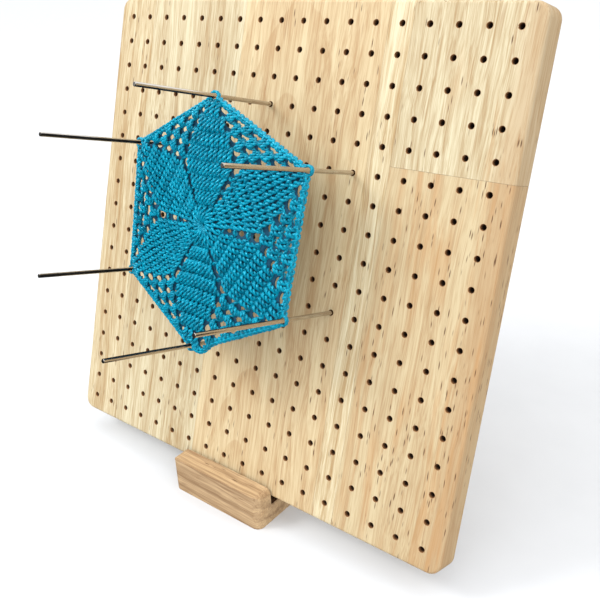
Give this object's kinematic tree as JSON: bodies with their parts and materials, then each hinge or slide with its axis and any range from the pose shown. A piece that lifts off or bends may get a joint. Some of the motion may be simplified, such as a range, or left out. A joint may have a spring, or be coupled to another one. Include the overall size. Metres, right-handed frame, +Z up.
{
  "type": "crochet blocking board",
  "caption": "Square wooden pegboard leaning in a slotted wooden stand, with steel rods in its holes holding a crochet hexagon stretched flat.",
  "frame": {"origin": "middle of the stand's underside, on the surface that it stands on", "axes": "+Z up, +X to the user's right along the slot, -Y towards the user; the board's face looks to -Y and leans back"},
  "size_m": [0.235, 0.1479, 0.2377],
  "materials": {
    "pale_wood": "fine-sanded, uncoated, pale straw colour",
    "warm_wood": "fine-sanded, uncoated, light tan with open pores",
    "stand_wood": "sanded, uncoated, light tan",
    "steel": "drawn and polished stainless",
    "yarn": "plied turquoise yarn with a slight sheen"
  },
  "bodies": {
    "stand": {"stand": "stand_wood"},
    "board": {"board_stave_1": "pale_wood", "board_stave_2": "pale_wood", "board_stave_3": "warm_wood", "board_stave_4": "pale_wood", "board_stave_5_upper": "pale_wood", "board_stave_5_lower": "warm_wood"},
    "rod_top": {"rod_top": "steel"},
    "rod_upper_right": {"rod_upper_right": "steel"},
    "rod_lower_right": {"rod_lower_right": "steel"},
    "rod_bottom": {"rod_bottom": "steel"},
    "rod_lower_left": {"rod_lower_left": "steel"},
    "rod_upper_left": {"rod_upper_left": "steel"},
    "crochet": {"crochet_hexagon": "yarn"}
  },
  "joints": [
    {"name": "board_lift", "type": "slide", "parent": "stand", "child": "board", "axis": [0, 0.309, 0.9511], "range_m": [0, 0.03]},
    {"name": "rod_top_pull", "type": "slide", "parent": "board", "child": "rod_top", "axis": [0, -0.9511, 0.309], "range_m": [-0.0004, 0.02]},
    {"name": "rod_upper_right_pull", "type": "slide", "parent": "board", "child": "rod_upper_right", "axis": [0, -0.9511, 0.309], "range_m": [0, 0.02]},
    {"name": "rod_lower_right_pull", "type": "slide", "parent": "board", "child": "rod_lower_right", "axis": [0, -0.9511, 0.309], "range_m": [-0.0042, 0.02]},
    {"name": "rod_bottom_pull", "type": "slide", "parent": "board", "child": "rod_bottom", "axis": [0, -0.9511, 0.309], "range_m": [-0.0027, 0.02]},
    {"name": "rod_lower_left_pull", "type": "slide", "parent": "board", "child": "rod_lower_left", "axis": [0, -0.9511, 0.309], "range_m": [-0.0009, 0.02]},
    {"name": "rod_upper_left_pull", "type": "slide", "parent": "board", "child": "rod_upper_left", "axis": [0, -0.9511, 0.309], "range_m": [-0.0062, 0.02]},
    {"name": "crochet_slide", "type": "slide", "parent": "board", "child": "crochet", "axis": [0, -0.9511, 0.309], "range_m": [-0.026, 0.064]}
  ]
}
